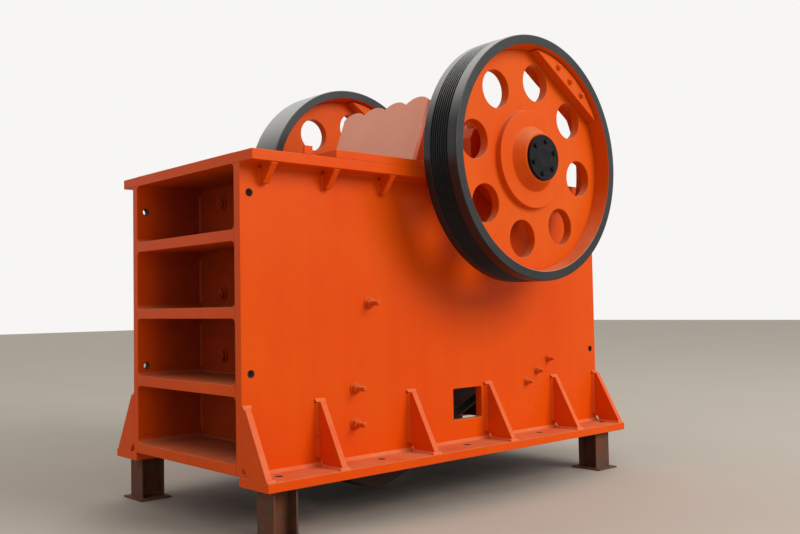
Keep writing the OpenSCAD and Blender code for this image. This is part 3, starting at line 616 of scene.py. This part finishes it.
def shaft_cap(bm, side):
    out = Vector((0, side, 0))
    centre = Vector((SHAFT.x, side * CAP_BACK, SHAFT.z))
    turned(bm, CAP_PROFILE, 96, centre, out)
    for i in range(6):
        a = math.radians(20 + 60 * i)
        around = Vector((math.cos(a) * CAP_BOLTS, side * CAP_RECESS, math.sin(a) * CAP_BOLTS))
        spot = centre + around
        washer(bm, spot, out, 0.024, 0.0035)
        hex_solid(bm, spot + out * 0.0035, out, 0.034, 0.014, 0.3 * i)


caps = bmesh.new()
for side in (-1, 1):
    shaft_cap(caps, side)
print("caps,", len(caps.faces), "faces")
finished("shaft_caps_dressed", sound(caps), "rotor", CAP, replaces=["shaft_caps"])

# %% [markdown]
# Three bolts clamp each pair of counterweight segments to the disc. They lie on a chord, well
# inside the rim, with the middle one on the line from the shaft through the segment.

# %% Counterweight bolts
HEAVY, CHORD_AT = math.radians(57.6), 0.853
WEIGHT_BOLT_SIZES = (0.032, 0.005, 0.042, 0.018, 0.011, 0.008)
along = Vector((math.cos(HEAVY), 0, math.sin(HEAVY)))
chord = Vector((math.sin(HEAVY), 0, -math.cos(HEAVY)))
weight_bolts = bmesh.new()
for name in ("pulley_counterweights", "flywheel_counterweights"):
    low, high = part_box(name)
    for face, out in ((low.y, -1), (high.y, 1)):
        for slide in (-0.180, 0.005, 0.190):
            spot = SHAFT + along * CHORD_AT + chord * slide
            spot.y = face
            nut_and_washer(weight_bolts, spot, Vector((0, out, 0)), WEIGHT_BOLT_SIZES, slide * 7)
print("counterweight bolts,", len(weight_bolts.faces), "faces")
finished("counterweight_bolts", sound(weight_bolts), "rotor", ORANGE)

# %% [markdown]
# The cap of each bearing housing is pulled down by two heavy studs through each ear, and a ring
# of small bolts holds its covers. The ring stays outside the wheel's hub, which turns a few
# millimetres away.

# %% Bearing studs and cover bolts
SHAFT_X, EAR_OUT, EAR_TOP = 2535, 341, 2683
HOUSING_SIZES = (0.041, 0.008, 0.062, 0.044, 0.021, 0.035)
COVER_RING, COVER_BOLTS = 0.247, 12
housing_bolts = bmesh.new()
for side in (-1, 1):
    for way in (-1, 1):
        for k, y in enumerate((785, 945)):
            ear = at(SHAFT_X + way * EAR_OUT, side * y, EAR_TOP)
            nut_and_washer(housing_bolts, ear, Z, HOUSING_SIZES, 0.35 + way * 0.4 + k)
    for y, out in ((side * 1.045, side), (side * 0.685, -side)):
        for i in range(COVER_BOLTS):
            a = math.tau * (i + 0.5) / COVER_BOLTS
            spot = SHAFT + Vector((math.cos(a) * COVER_RING, y, math.sin(a) * COVER_RING))
            hex_solid(housing_bolts, spot, Vector((0, out, 0)), 0.026, 0.009, i * 0.7)
print("bearing bolts,", len(housing_bolts.faces), "faces")
finished("bearing_bolts", sound(housing_bolts), "frame", ORANGE)

# %% [markdown]
# The tension springs are coils in real life and tubes in the exact solids. A coil is one circle
# that a spin carries round the rod while it also climbs: the spin operator's own step vector
# does the climbing. A wide washer and a nut close each spring in.

# %% Tension rods and springs
ROD_SLOPE = math.radians(24.5)
ROD_WAY = Vector((math.cos(ROD_SLOPE), 0, math.sin(ROD_SLOPE)))
ROD_START = (1901.6, -233.94)
SEAT = 1911.6  # where the spring begins, from the rod's start
ROD_HEAD = [(0, 0), (0.032, 0), (0.032, SEAT / 1000 - 0.03), (0.031, SEAT / 1000 - 0.025)]
ROD_THREAD = [(0.0318 if i % 2 else 0.0298, SEAT / 1000 - 0.02 + i * 0.006) for i in range(61)]
ROD_TIP = [(0.026, SEAT / 1000 + 0.3548), (0, SEAT / 1000 + 0.355)]
ROD_EYE = [(0, 0), (0.046, 0), (0.050, 0.004), (0.050, 0.052), (0.046, 0.056), (0, 0.056)]
ROD_PIN = [(0, 0), (0.018, 0), (0.020, 0.003), (0.020, 0.161), (0.018, 0.164), (0, 0.164)]


def on_rod(y, s):
    return at(ROD_START[0] + s * ROD_WAY.x, y, ROD_START[1] + s * ROD_WAY.z)


def coil(bm, centre, direction, mean_r, wire_r, length, turns):
    one = bmesh.new()
    steps = int(turns * 28)
    upright = Matrix.Translation((mean_r, 0, wire_r)) @ Matrix.Rotation(math.pi / 2, 4, "X")
    bmesh.ops.create_circle(one, segments=10, radius=wire_r, matrix=upright)
    bmesh.ops.spin(one, geom=one.verts[:] + one.edges[:], cent=(0, 0, 0), axis=(0, 0, 1),
                   dvec=(0, 0, (length - 2 * wire_r) / steps), angle=math.tau * turns, steps=steps)
    bmesh.ops.holes_fill(one, edges=[e for e in one.edges if e.is_boundary], sides=0)
    pour(one, bm, centre, direction)


springs = bmesh.new()
rods = bmesh.new()
for y in (-95, 95):
    coil(springs, on_rod(y, SEAT + 0.5), ROD_WAY, mean_r=0.061, wire_r=0.0145, length=0.249,
         turns=5.25)
    turned(rods, ROD_HEAD + ROD_THREAD + ROD_TIP, 28, on_rod(y, 0), ROD_WAY)
    washer(rods, on_rod(y, SEAT + 250), ROD_WAY, 0.082, 0.02)
    hex_solid(rods, on_rod(y, SEAT + 270), ROD_WAY, 0.096, 0.0495, 0.4)
    turned(rods, ROD_EYE, 40, on_rod(y, 0) - Y * 0.028, Y)
    turned(rods, ROD_PIN, 24, on_rod(y, 0) - Y * 0.082, Y)
print("springs", len(springs.faces), "faces, rods", len(rods.faces), "faces")
finished("tension_springs_dressed", sound(springs), "frame", SPRING, replaces=["tension_springs"])
finished("tension_rods_dressed", sound(rods), "frame", GREASED, replaces=["tension_rods"])

# %% [markdown]
# The frame is held together by fillet welds. A bead starts as four vertices round the inner
# corner of a joint and is drawn along it by the spin operator with no turn, only steps. Every
# second ring is then pushed out a little, which gives the fish-scale ripple of a hand weld.

# %% Weld beads
RIPPLE = 0.0075  # metres from ring to ring


def seam(bm, start, end, first, second, leg):
    """A bead from start to end in the corner between two surfaces that run off first and second."""
    first, second, leg = Vector(first), Vector(second), leg / 1000
    way = end - start
    steps = max(2, round(way.length / RIPPLE))
    one = bmesh.new()
    corners = [start, start + first * leg, start + (first + second) * leg * 0.6,
               start + second * leg]
    loop = [one.verts.new(c) for c in corners]
    edges = [one.edges.new((loop[k], loop[k - 1])) for k in range(4)]
    bmesh.ops.spin(one, geom=loop + edges, cent=start, axis=(0, 0, 1), dvec=way / steps,
                   angle=0, steps=steps)
    bulge = (first + second).normalized()
    for v in one.verts:
        gap = v.co - start
        if gap.dot(first) > leg * 0.3 and gap.dot(second) > leg * 0.3:
            ring = round(gap.dot(way) / way.length_squared * steps)
            v.co += bulge * leg * (0.13 if ring % 2 else -0.02) * (1 + noise.noise(v.co * 9))
    bmesh.ops.holes_fill(one, edges=[e for e in one.edges if e.is_boundary], sides=0)
    pour(one, bm)


INSET = 2  # how far the long beads stay short of the frame's ends
HOUSING_FROM, HOUSING_TO = 2104, 2966
FOOT_BEAD, TOP_BEAD = 24, 13
beads = bmesh.new()
for side in (-1, 1):
    wall = side * SIDE_FACE
    start, end = INSET, LENGTH - INSET
    seam(beads, at(start, wall, FOOT_TOP), at(end, wall, FOOT_TOP), Y * side, Z, FOOT_BEAD)
    for a, b in ((start, HOUSING_FROM), (HOUSING_TO, end)):
        seam(beads, at(a, wall, FLANGE_UNDER), at(b, wall, FLANGE_UNDER), Y * side, -Z, TOP_BEAD)
print(len(beads.verts), "vertices in the long seams")

# %% Beads round the gussets
GUSSETS = [0] + [638 + i * 904.67 for i in range(4)] + [3990]
GUSSET_T, GUSSET_TOP, GUSSET_TIP, SCALLOP = 50, 527, 286, 62
FLANGE_GUSSETS = [165 + 549 * i for i in (0, 1, 2, 3, 6)]
FLANGE_GUSSET_LOW, FLANGE_GUSSET_OUT, FLANGE_SCALLOP = 2088, 148, 31
for side in (-1, 1):
    wall = side * SIDE_FACE
    tip = wall + side * GUSSET_TIP
    for x in GUSSETS:
        near, far = max(3, x - 20), min(LENGTH - 3, x + GUSSET_T + 20)
        seam(beads, at(near, wall, GUSSET_TOP), at(far, wall, GUSSET_TOP), Y * side, Z, 24)
        seam(beads, at(near, tip, FOOT_TOP), at(far, tip, FOOT_TOP), Y * side, Z, 16)
        for edge, way in ((x, -1), (x + GUSSET_T, 1)):
            if 0 < edge < LENGTH:
                low, high = at(edge, wall, FOOT_TOP + SCALLOP), at(edge, wall, GUSSET_TOP - 7)
                seam(beads, low, high, Y * side, X * way, 24)
                start = at(edge, wall + side * SCALLOP, FOOT_TOP)
                end = at(edge, wall + side * (GUSSET_TIP - 4), FOOT_TOP)
                seam(beads, start, end, Z, X * way, 18)
    for x in FLANGE_GUSSETS:
        for edge, way in ((x, -1), (x + GUSSET_T, 1)):
            high = at(edge, wall, FLANGE_UNDER - FLANGE_SCALLOP)
            low = at(edge, wall, FLANGE_GUSSET_LOW)
            seam(beads, high, low, Y * side, X * way, TOP_BEAD)
            start = at(edge, wall + side * FLANGE_SCALLOP, FLANGE_UNDER)
            end = at(edge, wall + side * FLANGE_GUSSET_OUT, FLANGE_UNDER)
            seam(beads, start, end, -Z, X * way, TOP_BEAD)
print(len(beads.verts), "vertices with the gussets")

# %% Beads in the bays at both ends
RIBS, RIB_T = [FOOT_TOP + 540 * i for i in range(4)], 80
FRONT_BAYS = [(z + RIB_T, roof) for z, roof in zip(RIBS, RIBS[1:] + [FLANGE_UNDER])]
REAR_BAYS = [(145, 905), (985, 1685)]
CORNER, BAY_BEAD = 42, 14  # the free place in a bay's corners, and a bead's leg
BAY_HALF = INNER_FACE - CORNER
for wall, out, bays in ((WALL_FRONT, -X, FRONT_BAYS), (WALL_REAR, X, REAR_BAYS)):
    for low, high in bays:
        for z, way in ((low, 1), (high, -1)):
            seam(beads, at(wall, -BAY_HALF, z), at(wall, BAY_HALF, z), out, Z * way, BAY_BEAD)
        for side in (-1, 1):
            start = at(wall, side * INNER_FACE, low + CORNER)
            end = at(wall, side * INNER_FACE, high - CORNER)
            seam(beads, start, end, out, -Y * side, BAY_BEAD)
print(len(beads.verts), "vertices with the bays")
finished("frame_weld_beads", sound(beads), "frame", FRAME, sharp=60)

# %% [markdown]
# The guard plate above the swing jaw was made from two plates. Their joint was ground nearly
# flat before painting and shows only as a faint upright line, so its bead is very low.

# %% Joint of the guard plate
LEAN = math.radians(20.2)
GUARD_X, GUARD_Z = 1814, 2345  # the lower edge of its front face
JOINT_Y, JOINT_LOW, JOINT_HIGH = -6, 2372, 2880
out = Vector((-math.cos(LEAN), 0, math.sin(LEAN)))
sunk = out * 0.0026


def guard_face(y, z):
    return at(GUARD_X + (z - GUARD_Z) * math.tan(LEAN), y, z)


joint = bmesh.new()
seam(joint, guard_face(JOINT_Y, JOINT_LOW) - sunk, guard_face(JOINT_Y, JOINT_HIGH) - sunk,
     Y + out * 0.3, -Y + out * 0.3, 9)
print("guard joint,", len(joint.faces), "faces")
finished("guard_joint", sound(joint), "swing_jaw_body", SHEEN_ENAMEL, sharp=60)

# %% [markdown]
# A plain pale floor with a painted shadow under the machine, and a pale sky, which the camera sees
# as almost white. The machine is lit softly from above by that sky, with one wide lamp to the right
# of the camera that makes the long side plate brighter than the open front end, as on a hazy day.

# %% Floor, sky and lamp
SKY_LIGHT, SKY_SEEN = 0.68, 0.93
LAMP_PLACE, LAMP_AIM = Vector((7.0, -20.0, 13.0)), Vector((0, 0, 1.5))


def studio_floor():
    floor = Finish("pale_floor", roughness=0.9)
    clean = floor.mix((0.45, 0.40, 0.335, 1), (0.50, 0.45, 0.38, 1), floor.noise(0.6, 5.0))
    x, y = floor.axis("X"), floor.axis("Y")
    # A painted shadow: under the machine the floor darkens to a dark brown.
    under = 1 - (x * x * 0.16 + y * y * 0.55).band(0.15, 1.5)
    shade = under * (floor.noise(2.5, 4.0) * 0.3 + 0.6)
    floor.set(base_color=floor.mix(clean, (0.10, 0.088, 0.074, 1), shade))
    bm = bmesh.new()
    bmesh.ops.create_grid(bm, x_segments=1, y_segments=1, size=60)
    mesh = bpy.data.meshes.new("floor")
    bm.to_mesh(mesh)
    bm.free()
    mesh.materials.append(floor.material)
    made = bpy.data.objects.new("floor", mesh)
    bpy.context.scene.collection.objects.link(made)
    made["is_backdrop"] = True


def sky():
    world = bpy.data.worlds.new("hazy_sky")
    bpy.context.scene.world = world
    world.use_nodes = True
    nodes, links = world.node_tree.nodes, world.node_tree.links
    seen = nodes.new("ShaderNodeLightPath")
    either = nodes.new("ShaderNodeMath")
    either.operation = "MAXIMUM"
    links.new(seen.outputs["Is Camera Ray"], either.inputs[0])
    links.new(seen.outputs["Is Glossy Ray"], either.inputs[1])
    strength = nodes.new("ShaderNodeMapRange")
    links.new(either.outputs[0], strength.inputs[0])
    strength.inputs["To Min"].default_value = SKY_LIGHT
    strength.inputs["To Max"].default_value = SKY_SEEN
    background = nodes["Background"]
    background.inputs[0].default_value = (1.0, 0.99, 0.975, 1)
    links.new(strength.outputs[0], background.inputs[1])


def lamp(name, place, aim, size, watts):
    light = bpy.data.lights.new(name, "AREA")
    light.size, light.energy = size, watts
    made = bpy.data.objects.new(name, light)
    made.location = place
    made.rotation_mode = "QUATERNION"
    made.rotation_quaternion = (aim - place).to_track_quat("-Z", "Y")
    bpy.context.scene.collection.objects.link(made)


studio_floor()
sky()
lamp("wide_lamp", LAMP_PLACE, LAMP_AIM, size=12.0, watts=3850)
bpy.context.scene.view_settings.view_transform = "Standard"
print("studio ready")

# %% Sizes and finish
dressed_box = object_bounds()
for word, corner in zip(("from", "to"), dressed_box):
    print("dressed box", word, [round(v, 4) for v in corner])
